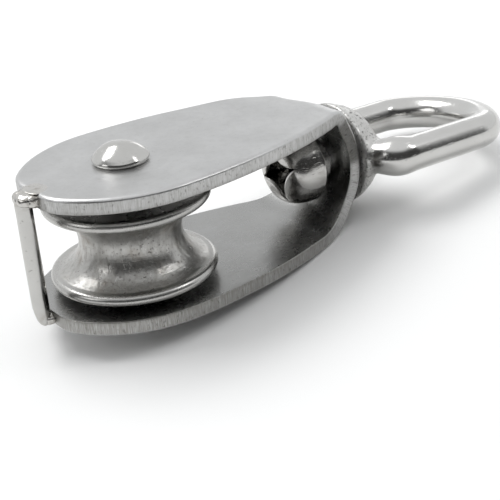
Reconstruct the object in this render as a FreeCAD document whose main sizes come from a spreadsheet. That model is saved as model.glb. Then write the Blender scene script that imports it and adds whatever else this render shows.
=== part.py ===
"""Single sheave swivel block: a grooved sheave on a riveted axle between the cheeks of a bent strap.

The origin is the centre of the sheave. Z is the axle's axis, X runs from the tail bar to the eye,
and Y runs across the cheeks. All sizes are in millimetres.
"""
import FreeCAD, Part
import math
import os
import Sketcher
from FreeCAD import Placement, Rotation, Vector

SIZES = {
    # sheave
    "sheave_dia": 24.0,
    "rim_thick": 1.6,
    "throat_dia": 14.8,
    "groove_radius": 4.9,
    "hub_dia": 9.4,
    "hub_stand": 0.9,
    "shaft_gap": 0.05,
    "side_gap": 0.15,
    "sheave_drop": 0.55,
    # riveted axle
    "axle_dia": 5.0,
    "rivet_head_dia": 8.2,
    "rivet_foot_dia": 7.6,
    "rivet_head_high": 2.8,
    "rivet_head_edge": 0.4,
    # bent strap
    "cheek_gap": 15.7,
    "plate": 2.2,
    "cheek_width": 27.8,
    "widest_at": 1.5,
    "nose_reach": 14.2,
    "nose_width": 9.0,
    "nose_corner_from": 12.8,
    "shoulder_at": 28.5,
    "shoulder_width": 18.6,
    "crown_from": 34.5,
    "crown_width": 14.0,
    "crown_reach": 37.4,
    "crown_bow": 14.5,
    "fold_inner_radius": 2.0,
    # tail bar and its weld beads
    "bar_dia": 2.4,
    "bar_short_of_face": 0.25,
    "bead_half_high": 1.0,
    "bead_half_deep": 1.35,
    "bead_half_wide": 2.4,
    # swivel eye
    "shank_dia": 5.0,
    "shank_end_at": 30.0,
    "swivel_gap": 0.15,
    "boss_dia": 16.0,
    "boss_edge": 0.5,
    "boss_waist_dia": 12.2,
    "boss_waist_at": 4.3,
    "boss_tip_dia": 5.6,
    "boss_high": 6.2,
    "eye_rod_dia": 5.5,
    "eye_width": 22.0,
    "eye_base_at": 40.6,
    "eye_tip_at": 65.5,
    "eye_corner": 3.0,
    "eye_shoulder": 6.5,
    "eye_bow": 13.0,
    "eye_turn": -6.0,
    "eye_droop": 2.0,
    # crimped collar on the inner end of the shank
    "collar_end_at": 26.2,
    "collar_end_dia": 9.2,
    "collar_bulge_at": 28.1,
    "collar_bulge_dia": 10.8,
    "collar_dia": 11.6,
    "collar_rim_at": 30.55,
    "collar_rim": 1.1,
    "collar_neck_dia": 7.6,
    "collar_play": 1.2,
    "crimp_tip": 4.2,
    "crimp_waist": 2.0,
    "crimp_turn": -22.0,
}

# Ends of sketch edges nearer than this are the same corner.
TOUCH = 1e-3
# How far the outlines that cut the strap stand clear of it.
SPARE = 5.0

doc = FreeCAD.newDocument("sheave_block")
sheet = doc.addObject("Spreadsheet::Sheet", "sizes")
for row, (alias, value) in enumerate(SIZES.items(), start=1):
    sheet.set(f"A{row}", alias)
    sheet.set(f"B{row}", str(value))
    sheet.setAlias(f"B{row}", alias)
doc.recompute()


def size(alias):
    """The value of one cell of the sheet."""
    return float(getattr(sheet, alias))


def new_body(name):
    """An empty body with its own label."""
    body = doc.addObject("PartDesign::Body", name)
    body.Label = name
    return body


def plane_sketch(body, name, role, offset=0.0):
    """A sketch on one of the body's own origin planes, moved along that plane's normal."""
    plane = next(item for item in body.Origin.OriginFeatures if item.Role == role)
    sketch = body.newObject("Sketcher::SketchObject", name)
    sketch.AttachmentSupport = [(plane, "")]
    sketch.MapMode = "FlatFace"
    sketch.AttachmentOffset = Placement(Vector(0, 0, offset), Rotation())
    return sketch


def end_at(sketch, edge, corner):
    """Which end of a sketch edge, 1 or 2, lies at a corner."""
    gap = sketch.getPoint(edge, 1) - Vector(*corner, 0)
    return 1 if gap.Length < TOUCH else 2


def outline(sketch, steps):
    """A closed outline. A step is (corner,) before a straight edge, or (corner, via) before an arc."""
    first = sketch.GeometryCount
    corners = [step[0] for step in steps]
    following = corners[1:] + corners[:1]
    for step, goal in zip(steps, following):
        start, end = Vector(*step[0], 0), Vector(*goal, 0)
        edge = Part.Arc(start, Vector(*step[1], 0), end) if len(step) == 2 else Part.LineSegment(start, end)
        sketch.addGeometry(edge, False)
    for number, goal in enumerate(following):
        here, after = first + number, first + (number + 1) % len(steps)
        ends = (here, end_at(sketch, here, goal), after, end_at(sketch, after, goal))
        sketch.addConstraint(Sketcher.Constraint("Coincident", *ends))
    return first


def hold(sketch, edge, corner, across=None, along=None):
    """Ties a corner's distances from the sketch's origin to expressions in the sheet's sizes."""
    for kind, place, rule in (("DistanceX", corner[0], across), ("DistanceY", corner[1], along)):
        if rule is None:
            continue
        spot = end_at(sketch, edge, corner)
        number = sketch.addConstraint(Sketcher.Constraint(kind, -1, 1, edge, spot, place))
        sketch.setExpression(f"Constraints[{number}]", rule)


def circle(sketch, across, along, radius, rule):
    """A circle whose radius follows an expression."""
    edge = sketch.addGeometry(Part.Circle(Vector(across, along, 0), Vector(0, 0, 1), radius), False)
    number = sketch.addConstraint(Sketcher.Constraint("Radius", edge, radius))
    sketch.setExpression(f"Constraints[{number}]", rule)
    return edge


def turned(body, name, sketch, axis):
    """Adds the sketch turned once round one of its own axes."""
    turn = body.newObject("PartDesign::Revolution", name)
    turn.Profile = sketch
    turn.ReferenceAxis = (sketch, [axis])
    turn.Angle = 360.0
    return turn


def cut_through(body, name, sketch):
    """Cuts the sketch through the body on both sides of its plane."""
    cut = body.newObject("PartDesign::Pocket", name)
    cut.Profile = sketch
    cut.Type = "ThroughAll"
    cut.SideType = "Symmetric"
    return cut


FACE = size("cheek_gap") / 2 + size("plate")
INNER = size("cheek_gap") / 2


# Bent strap: one blank of plate folded into two cheeks. The crown between them is bowed: it meets the
# upper cheek in a tight fold and runs into the lower cheek in one wide bend.
def cheek_strap():
    body = new_body("cheek_strap")
    reach, plate, tail = size("crown_reach"), size("plate"), -size("nose_reach")
    bow, fold = size("crown_bow"), size("fold_inner_radius") + size("plate")
    bow_at, bend_at = reach - bow, reach - FACE
    fold_high = FACE - fold
    fold_at = bow_at + math.sqrt((bow - fold) ** 2 - fold_high ** 2)
    lean = math.atan2(fold_high, fold_at - bow_at)

    def bow_point(radius, angle):
        """A point of the crown's bow at an angle above the shank."""
        return (bow_at + radius * math.cos(angle), radius * math.sin(angle))

    def fold_point(radius, angle):
        """A point of the tight fold at an angle above the shank."""
        return (fold_at + radius * math.cos(angle), fold_high + radius * math.sin(angle))

    def bend_point(radius):
        """The middle point of the wide bend."""
        return (bend_at + radius * math.sqrt(0.5), -radius * math.sqrt(0.5))

    fold_middle = (lean + math.pi / 2) / 2
    side = plane_sketch(body, "strap_side", "XZ_Plane")
    edge = outline(side, [
        ((tail, FACE),),
        ((fold_at, FACE), fold_point(fold, fold_middle)),
        (bow_point(bow, lean), bow_point(bow, lean / 2)),
        ((reach, 0), bend_point(FACE)),
        ((bend_at, -FACE),),
        ((tail, -FACE),),
        ((tail, -INNER),),
        ((bend_at, -INNER), bend_point(INNER)),
        ((reach - plate, 0), bow_point(bow - plate, lean / 2)),
        (bow_point(bow - plate, lean), fold_point(fold - plate, fold_middle)),
        ((fold_at, INNER),),
        ((tail, INNER),),
    ])
    hold(side, edge, (tail, FACE), "-sizes.nose_reach", "sizes.cheek_gap / 2 + sizes.plate")
    hold(side, edge + 6, (tail, -INNER), "-sizes.nose_reach", "-sizes.cheek_gap / 2")
    fold = body.newObject("PartDesign::Pad", "strap_fold")
    fold.Profile = side
    fold.SideType = "Symmetric"
    fold.setExpression("Length", f"sizes.cheek_width + {SPARE}")
    doc.recompute()

    nose, half = size("nose_width") / 2, size("cheek_width") / 2
    widest = size("widest_at")
    shoulder, shoulder_half = size("shoulder_at"), size("shoulder_width") / 2
    crown_from, crown_half = size("crown_from"), size("crown_width") / 2

    def arc_radius(across, drop):
        """Radius of an arc that leaves the widest place level and drops by a given amount."""
        return (across ** 2 + drop ** 2) / (2 * drop)

    nose_arc = arc_radius(widest - tail, half - nose)
    side_arc = arc_radius(shoulder - widest, half - shoulder_half)
    nose_mid = (widest + tail) / 2
    side_mid = (widest + shoulder) / 2
    nose_via = half - nose_arc + math.sqrt(nose_arc ** 2 - (widest - nose_mid) ** 2)
    side_via = half - side_arc + math.sqrt(side_arc ** 2 - (side_mid - widest) ** 2)
    corner_at = -size("nose_corner_from")
    corner_half = half - nose_arc + math.sqrt(nose_arc ** 2 - (widest - corner_at) ** 2)
    lean = math.atan2(widest - corner_at, corner_half - half + nose_arc)
    meet = corner_half - (corner_at - tail) * math.tan(lean)
    leg = math.hypot(corner_at - tail, corner_half - meet)
    nose_half = meet - leg
    corner = leg / math.tan((math.pi / 2 - lean) / 2)
    corner_turn = math.pi / 2 - lean
    corner_via = (tail + corner * (1 - math.cos(corner_turn / 2)),
                  nose_half + corner * math.sin(corner_turn / 2))
    past = reach + SPARE
    plan = plane_sketch(body, "cheek_plan", "XY_Plane")
    edge = outline(plan, [
        ((tail, nose_half), corner_via),
        ((corner_at, corner_half), (nose_mid, nose_via)),
        ((widest, half), (side_mid, side_via)),
        ((shoulder, shoulder_half),),
        ((crown_from, crown_half),),
        ((past, crown_half),),
        ((past, -crown_half),),
        ((crown_from, -crown_half),),
        ((shoulder, -shoulder_half), (side_mid, -side_via)),
        ((widest, -half), (nose_mid, -nose_via)),
        ((corner_at, -corner_half), (corner_via[0], -corner_via[1])),
        ((tail, -nose_half),),
    ])
    hold(plan, edge + 2, (widest, half), "sizes.widest_at", "sizes.cheek_width / 2")
    frame = past + SPARE
    outline(plan, [((-frame, frame),), ((frame, frame),), ((frame, -frame),), ((-frame, -frame),)])
    cut_through(body, "cheek_trim", plan)
    doc.recompute()

    bore = plane_sketch(body, "axle_hole_plan", "XY_Plane")
    circle(bore, 0, 0, size("axle_dia") / 2, "sizes.axle_dia / 2")
    cut_through(body, "axle_holes", bore)
    eye_hole = plane_sketch(body, "shank_hole_plan", "YZ_Plane")
    circle(eye_hole, 0, 0, size("shank_dia") / 2 + size("shaft_gap"), "sizes.shank_dia / 2 + sizes.shaft_gap")
    cut_through(body, "shank_hole", eye_hole)
    return body


# Sheave: turned from bar, a round groove between two rims, with a hub that stands out on each side.
def sheave():
    body = new_body("sheave")
    rim, throat = size("sheave_dia") / 2, size("throat_dia") / 2
    bore = size("axle_dia") / 2 + size("shaft_gap")
    hub, hub_end = size("hub_dia") / 2, INNER - size("side_gap") - size("sheave_drop")
    web = hub_end - size("hub_stand")
    round_off = size("rim_thick") / 2
    lip = web - size("rim_thick")
    groove = size("groove_radius")
    groove_centre = throat + groove
    groove_top = groove_centre - math.sqrt(groove ** 2 - lip ** 2)
    profile = plane_sketch(body, "sheave_section", "XZ_Plane")
    edge = outline(profile, [
        ((bore, -hub_end),),
        ((bore, hub_end),),
        ((hub, hub_end),),
        ((hub, web),),
        ((rim - round_off, web), (rim, web - round_off)),
        ((rim - round_off, lip),),
        ((groove_top, lip), (throat, 0)),
        ((groove_top, -lip),),
        ((rim - round_off, -lip), (rim, -web + round_off)),
        ((rim - round_off, -web),),
        ((hub, -web),),
        ((hub, -hub_end),),
    ])
    half_height = "sizes.cheek_gap / 2 - sizes.side_gap - sizes.sheave_drop"
    hold(profile, edge, (bore, -hub_end), "sizes.axle_dia / 2 + sizes.shaft_gap", f"-({half_height})")
    hold(profile, edge + 2, (hub, hub_end), "sizes.hub_dia / 2", half_height)
    turned(body, "sheave_turn", profile, "V_Axis")
    doc.recompute()
    body.setExpression("Placement.Base.z", "-sizes.sheave_drop")
    return body


# Axle rivet: one pin with a domed head on the outside of each cheek.
def axle_rivet():
    body = new_body("axle_rivet")
    pin, head = size("axle_dia") / 2, size("rivet_head_dia") / 2
    high, edge_high, foot = size("rivet_head_high"), size("rivet_head_edge"), size("rivet_foot_dia") / 2
    dome = high - edge_high
    sphere = (head ** 2 + dome ** 2) / (2 * dome)
    via_x = head / 2
    via_z = FACE + high - sphere + math.sqrt(sphere ** 2 - via_x ** 2)
    profile = plane_sketch(body, "rivet_section", "XZ_Plane")
    edge = outline(profile, [
        ((0, FACE + high), (via_x, via_z)),
        ((head, FACE + edge_high),),
        ((foot, FACE),),
        ((pin, FACE),),
        ((pin, -FACE),),
        ((foot, -FACE),),
        ((head, -FACE - edge_high), (via_x, -via_z)),
        ((0, -FACE - high),),
    ])
    hold(profile, edge + 2, (foot, FACE), "sizes.rivet_foot_dia / 2", "sizes.cheek_gap / 2 + sizes.plate")
    hold(profile, edge + 3, (pin, FACE), "sizes.axle_dia / 2", None)
    turned(body, "rivet_turn", profile, "V_Axis")
    return body


# Tail bar: a round rod laid against the two nose edges, so that the rope can't leave the block.
def tail_bar():
    bar = doc.addObject("Part::Cylinder", "tail_bar")
    bar.Label = "tail_bar"
    bar.setExpression("Radius", "sizes.bar_dia / 2")
    bar.setExpression("Height", "sizes.cheek_gap + 2 * sizes.plate - 2 * sizes.bar_short_of_face")
    bar.setExpression("Placement.Base.x", "-sizes.nose_reach - sizes.bar_dia / 2")
    bar.setExpression("Placement.Base.z", "-sizes.cheek_gap / 2 - sizes.plate + sizes.bar_short_of_face")
    return bar


# Weld beads: metal that fills the corners between the tail bar and both noses.
def tail_bar_welds(strap, bar):
    blobs = []
    for name, sign in (("bead_upper", "1"), ("bead_lower", "-1")):
        blob = doc.addObject("Part::Ellipsoid", name)
        blob.setExpression("Radius1", "sizes.bead_half_high")
        blob.setExpression("Radius2", "sizes.bead_half_deep")
        blob.setExpression("Radius3", "sizes.bead_half_wide")
        blob.setExpression("Placement.Base.x", "-sizes.nose_reach - sizes.bar_short_of_face")
        blob.setExpression("Placement.Base.z", f"{sign} * (sizes.cheek_gap + sizes.plate) / 2")
        blobs.append(blob)
    both = doc.addObject("Part::MultiFuse", "bead_blobs")
    both.Shapes = blobs
    off_strap = doc.addObject("Part::Cut", "beads_off_strap")
    off_strap.Base = both
    off_strap.Tool = strap
    welds = doc.addObject("Part::Cut", "tail_bar_welds")
    welds.Label = "tail_bar_welds"
    welds.Base = off_strap
    welds.Tool = bar
    return welds


# Swivel eye: one casting, a D-shaped ring with a domed boss and a shank that passes through the crown.
def swivel_eye():
    body = new_body("swivel_eye")
    seat = size("crown_reach") + size("swivel_gap")
    shank, boss, tip = size("shank_dia") / 2, size("boss_dia") / 2, size("boss_tip_dia") / 2
    waist = (seat + size("boss_waist_at"), size("boss_waist_dia") / 2)
    end = size("shank_end_at")
    profile = plane_sketch(body, "boss_section", "XZ_Plane")
    edge = outline(profile, [
        ((end, 0),),
        ((end, shank),),
        ((seat, shank),),
        ((seat, boss),),
        ((seat + size("boss_edge"), boss), waist),
        ((seat + size("boss_high"), tip),),
        ((seat + size("boss_high"), 0),),
    ])
    hold(profile, edge + 1, (end, shank), "sizes.shank_end_at", "sizes.shank_dia / 2")
    hold(profile, edge + 3, (seat, boss), "sizes.crown_reach + sizes.swivel_gap", "sizes.boss_dia / 2")
    turned(body, "boss_turn", profile, "H_Axis")
    doc.recompute()

    half, base, top = size("eye_width") / 2, size("eye_base_at"), size("eye_tip_at")
    corner, shoulder, bow = size("eye_corner"), size("eye_shoulder"), size("eye_bow")
    bow_at = top - bow
    shoulder_at = bow_at + math.sqrt((bow - shoulder) ** 2 - (half - shoulder) ** 2)
    lean = math.atan2(half - shoulder, shoulder_at - bow_at)
    join = (bow_at + bow * math.cos(lean), bow * math.sin(lean))
    middle = (lean + math.pi / 2) / 2
    shoulder_via = (shoulder_at + shoulder * math.cos(middle), half - shoulder + shoulder * math.sin(middle))
    turn = corner * (1 - math.sqrt(0.5))
    droop = math.radians(size("eye_droop"))
    path = plane_sketch(body, "eye_path", "XY_Plane")
    hinge = Vector(seat, 0, 0)
    tilt = Rotation(Vector(0, 1, 0), size("eye_droop"))
    path.AttachmentOffset = Placement(hinge - tilt.multVec(hinge), tilt)
    outline(path, [
        ((base, -half + corner), (base + turn, -half + turn)),
        ((base + corner, -half),),
        ((shoulder_at, -half), (shoulder_via[0], -shoulder_via[1])),
        ((join[0], -join[1]), (top, 0)),
        (join, shoulder_via),
        ((shoulder_at, half),),
        ((base + corner, half), (base + turn, half - turn)),
        ((base, half - corner),),
    ])
    rod_at = (base + shoulder_at) / 2
    rod = plane_sketch(body, "eye_rod_section", "YZ_Plane", offset=rod_at)
    circle(rod, -half, -(rod_at - seat) * math.tan(droop), size("eye_rod_dia") / 2, "sizes.eye_rod_dia / 2")
    ring = body.newObject("PartDesign::AdditivePipe", "eye_ring")
    ring.Profile = rod
    ring.Spine = (path, [f"Edge{number + 1}" for number in range(path.GeometryCount)])
    ring.Transition = "Transformed"
    doc.recompute()
    body.Placement = Placement(Vector(0, 0, 0), Rotation(Vector(1, 0, 0), size("eye_turn")))
    return body


# Crimped collar: a dome on the inner end of the shank, its end pressed into a four-pointed star.
def crimped_collar():
    body = new_body("crimped_collar")
    start, end_half = size("collar_end_at"), size("collar_end_dia") / 2
    rim_at, rim_half = size("collar_rim_at"), size("collar_dia") / 2
    rim_end = rim_at + size("collar_rim")
    neck = size("collar_neck_dia") / 2
    stop = size("crown_reach") - size("plate") - size("collar_play")
    shank = size("shank_dia") / 2
    bulge = (size("collar_bulge_at"), size("collar_bulge_dia") / 2)
    profile = plane_sketch(body, "collar_section", "XZ_Plane")
    edge = outline(profile, [
        ((start, 0),),
        ((start, end_half), bulge),
        ((rim_at, rim_half),),
        ((rim_end, rim_half),),
        ((rim_end, neck),),
        ((stop, neck),),
        ((stop, 0),),
    ])
    hold(profile, edge + 1, (start, end_half), "sizes.collar_end_at", "sizes.collar_end_dia / 2")
    rim_end_rule = "sizes.collar_rim_at + sizes.collar_rim"
    hold(profile, edge + 3, (rim_end, rim_half), rim_end_rule, "sizes.collar_dia / 2")
    turned(body, "collar_turn", profile, "H_Axis")
    doc.recompute()

    star = plane_sketch(body, "crimp_plan", "YZ_Plane", offset=start)
    tip, waist = size("crimp_tip"), size("crimp_waist")
    steps = []
    for quarter in range(4):
        angle = quarter * math.pi / 2 + math.radians(size("crimp_turn"))
        corner = (tip * math.cos(angle), tip * math.sin(angle))
        angle += math.pi / 4
        via = (waist * math.cos(angle), waist * math.sin(angle))
        steps.append((corner, via))
    outline(star, steps)
    crimp = body.newObject("PartDesign::Pocket", "crimp")
    crimp.Profile = star
    crimp.Reversed = True
    crimp.setExpression("Length", "sizes.shank_end_at - sizes.collar_end_at")
    doc.recompute()

    seat = plane_sketch(body, "shank_seat_plan", "YZ_Plane", offset=size("shank_end_at"))
    circle(seat, 0, 0, shank, "sizes.shank_dia / 2")
    bore = body.newObject("PartDesign::Pocket", "shank_seat")
    bore.Profile = seat
    bore.Reversed = True
    bore.Type = "ThroughAll"
    return body


strap = cheek_strap()
bar = tail_bar()
pieces = [strap, sheave(), axle_rivet(), bar, tail_bar_welds(strap, bar), swivel_eye(), crimped_collar()]
doc.recompute()

for item in doc.Objects:
    if "Invalid" in item.State or "Error" in item.State:
        raise RuntimeError(f"{item.Name}: {item.State}")
os.makedirs("parts", exist_ok=True)
for piece in pieces:
    shape = piece.Shape
    if shape.isNull() or not shape.isValid():
        raise RuntimeError(f"{piece.Label} has no valid shape")
    shape.exportStep(os.path.join("parts", f"{piece.Label}.step"))
    print(piece.Label, len(shape.Solids), round(shape.Volume, 1), shape.BoundBox)
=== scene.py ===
import math

import bmesh
import bpy
import numpy as np
from mathutils import Matrix


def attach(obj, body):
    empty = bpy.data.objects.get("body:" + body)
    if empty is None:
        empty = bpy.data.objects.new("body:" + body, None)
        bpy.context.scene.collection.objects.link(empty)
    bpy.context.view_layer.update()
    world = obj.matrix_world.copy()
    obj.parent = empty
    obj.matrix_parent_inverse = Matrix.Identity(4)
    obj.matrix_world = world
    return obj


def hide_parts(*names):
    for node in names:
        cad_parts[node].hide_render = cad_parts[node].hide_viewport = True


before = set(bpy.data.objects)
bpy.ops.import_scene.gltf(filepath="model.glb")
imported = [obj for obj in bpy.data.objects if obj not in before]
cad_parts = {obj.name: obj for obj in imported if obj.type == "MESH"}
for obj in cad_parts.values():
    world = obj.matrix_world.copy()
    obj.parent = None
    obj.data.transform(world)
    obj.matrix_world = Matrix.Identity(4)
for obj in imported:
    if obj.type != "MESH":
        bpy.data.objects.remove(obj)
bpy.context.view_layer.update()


# ----------------------------------------
# Cheek strap. One blank of stainless steel plate, blanked and folded in a press into two cheeks
# joined by a bowed crown, then tumbled to a satin finish. The press rolls the outer edge, leaves a
# grained cut on the edge face and a keen edge inside, and lets the tight upper fold droop at one end.
# ----------------------------------------
MM = 0.001  # Sizes are in millimetres: X runs from the axle to the eye, Z through both cheeks.
PLATE_HALF = 1.1
CHEEK_FACE = 10.05
CROWN_REACH = 37.4
CROWN_BOW = 14.5
FOLD_OUTER = 4.2

BOW_MIDDLE = CROWN_BOW - PLATE_HALF
FOLD_MIDDLE = FOLD_OUTER - PLATE_HALF
BEND_MIDDLE = CHEEK_FACE - PLATE_HALF
BOW_AT = CROWN_REACH - CROWN_BOW
BEND_AT = CROWN_REACH - CHEEK_FACE
BOW_TURN = math.asin((CHEEK_FACE - FOLD_OUTER) / (CROWN_BOW - FOLD_OUTER))
FOLD_AT = BOW_AT + (CROWN_BOW - FOLD_OUTER) * math.cos(BOW_TURN)
BOW_RUN = BOW_MIDDLE * BOW_TURN
FOLD_RUN = FOLD_MIDDLE * (math.pi / 2 - BOW_TURN)
BEND_RUN = BEND_MIDDLE * math.pi / 2
UPPER_AXLE = BOW_RUN + FOLD_RUN + FOLD_AT
LOWER_AXLE = BEND_RUN + BEND_AT

# The outline of each cheek and of the crown, seen flat.
NOSE_AT = -14.2
NOSE_HALF = 4.5
NOSE_CORNER_AT = -12.8
WIDEST_AT = 1.5
WIDEST_HALF = 13.9
SHOULDER_AT = 28.5
SHOULDER_HALF = 9.3
CROWN_FROM = 34.5
CROWN_HALF = 7.0
AXLE_HOLE = 2.5
SHANK_HOLE = 2.55

# What the press does to the edges, the upper fold and the faces.
ROLL_IN = 0.75
ROLL_DOWN = 0.50
INNER_EDGE = 0.14
EDGE_LEDGE = 0.15
DROOP_DEEP = 0.65
DROOP_RUN = 5.0
DROOP_FROM = -4.0
DROOP_GROWTH = 12.0
KEEN_HIGH = 0.22
KEEN_RUN = 1.4
DENT_RADIUS = 6.6
DENT_WIDE = 0.45
DENT_DEEP = 0.12
DENT_EVEN, DENT_UNEVEN = 0.6, 0.4
AXLE_CALM = 2
SHANK_CALM = 3
WAVE_HIGH = 0.03

PLATE_DULL = (0.49, 0.49, 0.487)
PLATE_BRIGHT = (0.55, 0.55, 0.548)
# Dark grey painted onto the inner faces as shade.
INNER_PAINTED_SHADE = (0.16, 0.16, 0.15)
# Grey of the smudges, laid on more heavily on the inner faces, where it adds painted shade.
SMUDGE_AND_SHADE_GREY = (0.33, 0.327, 0.315)
# Near black painted on the crown's cut edge as a dark reflection.
CROWN_EDGE_PAINTED_DARK = (0.055, 0.052, 0.045)
# Brownish grey painted on the lower cheek's cut edge as shade.
LOWER_EDGE_PAINTED_SHADE = (0.17, 0.16, 0.14)
SPECK_GREY = (0.22, 0.215, 0.21)
SHEAR_GREY = (0.27, 0.265, 0.245)
CUT_PIT_DARK = (0.10, 0.095, 0.085)


def lumps(points, pitch, seed, waves=28, shortest=0.7, longest=1.4):
    """Smooth uneven height at each point, within about one either way: the sum of plane waves
    with random headings and phases and lengths near the pitch, over the root of their number."""
    draw = np.random.default_rng(seed)
    heading = draw.normal(size=(waves, 3))
    heading /= np.linalg.norm(heading, axis=1, keepdims=True)
    heading *= 2 * math.pi / (pitch * draw.uniform(shortest, longest, (waves, 1)))
    phase = draw.uniform(0, 2 * math.pi, waves)
    return np.sin(points @ heading.T + phase).sum(-1) / math.sqrt(waves)


def in_scene(name, data):
    """A new object in the scene that holds a mesh, a lamp or a camera."""
    made = bpy.data.objects.new(name, data)
    bpy.context.scene.collection.objects.link(made)
    return made


WELD_TOGETHER = 1e-4
OFF_THE_GRID = 0.318  # Keeps round sizes away from the limits of the rounding.


def steel_piece(name, patches, layers=()):
    """One closed mesh from grids of points in millimetres. Each grid square is a face, equal points
    become one, and squares with a doubled corner become triangles. Columns of a grid after the
    first three are named layers that are kept with the points."""
    points, squares, first = [], [], 0
    for patch in patches:
        rows, columns, width = patch.shape
        number = first + np.arange(rows * columns).reshape(rows, columns)
        corners = [number[:-1, :-1], number[1:, :-1], number[1:, 1:], number[:-1, 1:]]
        squares.append(np.stack(corners, -1).reshape(-1, 4))
        points.append(patch.reshape(-1, width))
        first += rows * columns
    points, squares = np.concatenate(points), np.concatenate(squares)
    places = np.round(points[:, :3] / WELD_TOGETHER + OFF_THE_GRID).astype(np.int64)
    _, kept, which = np.unique(places, axis=0, return_index=True, return_inverse=True)
    points, squares = points[kept], which.reshape(-1)[squares]
    doubled = squares == np.roll(squares, -1, axis=1)
    count = doubled.sum(1)
    three = squares[count == 1][~doubled[count == 1]].reshape(-1, 3)
    mesh = bpy.data.meshes.new(name)
    mesh.from_pydata((points[:, :3] * MM).tolist(), [], squares[count == 0].tolist() + three.tolist())
    turned = bmesh.new()
    turned.from_mesh(mesh)
    bmesh.ops.recalc_face_normals(turned, faces=turned.faces)
    turned.to_mesh(mesh)
    turned.free()
    for layer, column, kind in layers:
        spread = mesh.attributes.new(layer, kind, "POINT")
        wide = 3 if kind == "FLOAT_VECTOR" else 1
        field = "vector" if kind == "FLOAT_VECTOR" else "value"
        spread.data.foreach_set(field, points[:, column:column + wide].astype(np.float32).ravel())
    mesh.shade_smooth()
    return in_scene(name, mesh)


def even(line, count):
    """The same line through a given number of points, evenly spaced along it."""
    run = np.concatenate([[0], np.cumsum(np.linalg.norm(np.diff(line, axis=0), axis=1))])
    spots = np.linspace(0, run[-1], count)
    return np.stack([np.interp(spots, run, line[:, k]) for k in range(line.shape[1])], -1)


def middle_line(along):
    """X and Z of the plate's middle at a distance along the blank from the middle of the crown, and
    how far its outward direction has turned from X: an arc, on the upper side a second and tighter
    arc, then straight back."""
    upper, run = along > 0, np.abs(along)
    radius = np.where(upper, BOW_MIDDLE, BEND_MIDDLE)
    first_run = np.where(upper, BOW_RUN, BEND_RUN)
    second = np.clip(run - first_run, 0, np.where(upper, FOLD_RUN, 0))
    first_turn = np.minimum(run, first_run) / radius
    turn = first_turn + second / FOLD_MIDDLE
    straight = np.clip(run - first_run - second, 0, None)
    x = np.where(upper, BOW_AT, BEND_AT) + radius * np.cos(first_turn) - straight
    z = radius * np.sin(first_turn) + FOLD_MIDDLE * (np.sin(turn) - np.sin(first_turn))
    return x + FOLD_MIDDLE * (np.cos(turn) - np.cos(first_turn)), np.sign(along) * z, turn


def folded(blank):
    """Folds points of the flat blank, given as distance along, across and out from the plate's
    middle: the middle line's point, moved out along the direction it faces there."""
    along, across, out = np.moveaxis(blank, -1, 0)
    x, z, turn = middle_line(along)
    return np.stack([x + out * np.cos(turn), across, z + np.sign(along) * out * np.sin(turn)], -1)


def strap_patch(plan, out, cut=0.0):
    """A patch of the strap: its plan along and across the blank and its height out from the middle.
    The height is lowered by the droop of the upper fold, raised where that fold is keen, and given a
    dent round each rivet head and low waves, then it is folded. The flat place and the share of cut
    edge are kept as layers."""
    plan, out, cut = np.broadcast_arrays(plan, np.asarray(out)[..., None], np.asarray(cut)[..., None])
    out, cut = out[..., 0], cut[..., 0]
    along, across = plan[..., 0], plan[..., 1]
    flat = np.stack([along, across, out], -1)
    far = np.clip((across - DROOP_FROM) / DROOP_GROWTH, 0, 1)
    far = far * far * (3 - 2 * far)
    from_fold = along - BOW_RUN - FOLD_RUN / 2
    raised = out - DROOP_DEEP * far * np.exp(-(from_fold / DROOP_RUN) ** 2)
    raised = raised + KEEN_HIGH * (1 - far) * np.exp(-(from_fold / KEEN_RUN) ** 2)
    from_axle = np.hypot(np.abs(along) - np.where(along > 0, UPPER_AXLE, LOWER_AXLE), across)
    dent = np.exp(-((from_axle - DENT_RADIUS) / DENT_WIDE) ** 2)
    dent = dent * (DENT_EVEN + DENT_UNEVEN * lumps(flat, pitch=9, seed=3))
    still = np.clip((from_axle - AXLE_HOLE) / AXLE_CALM, 0, 1)
    still = still * np.clip((np.hypot(along, across) - SHANK_HOLE) / SHANK_CALM, 0, 1)
    raised = raised - DENT_DEEP * dent * np.clip(out / PLATE_HALF, 0, 1)
    raised = raised + WAVE_HIGH * lumps(flat * [1, 1, 0], pitch=11, seed=5) * still
    placed = folded(np.stack([along, across, raised], -1))
    return np.concatenate([placed, flat, cut[..., None]], -1)


def holed(edge, centre, radius, rows):
    """A face with a round hole: straight lines from each point of its edge to the point of the hole
    that has the same bearing."""
    away = edge - centre
    ring = centre + radius * away / np.linalg.norm(away, axis=1, keepdims=True)
    share = np.linspace(0, 1, rows)[:, None, None]
    return ring * (1 - share) + edge * share


widest_drop, shoulder_drop = WIDEST_HALF - NOSE_HALF, WIDEST_HALF - SHOULDER_HALF
NOSE_ARC = ((WIDEST_AT - NOSE_AT) ** 2 + widest_drop ** 2) / (2 * widest_drop)
SIDE_ARC = ((SHOULDER_AT - WIDEST_AT) ** 2 + shoulder_drop ** 2) / (2 * shoulder_drop)
CROWN_TO = 6.0
NOSE_BACK = 14.0
OUTLINE_POINTS = (16, 90, 96)
OUTLINE_STEP = 0.1
SOFT_SPAN = 25
SOFT_BEFORE = 8


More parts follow.
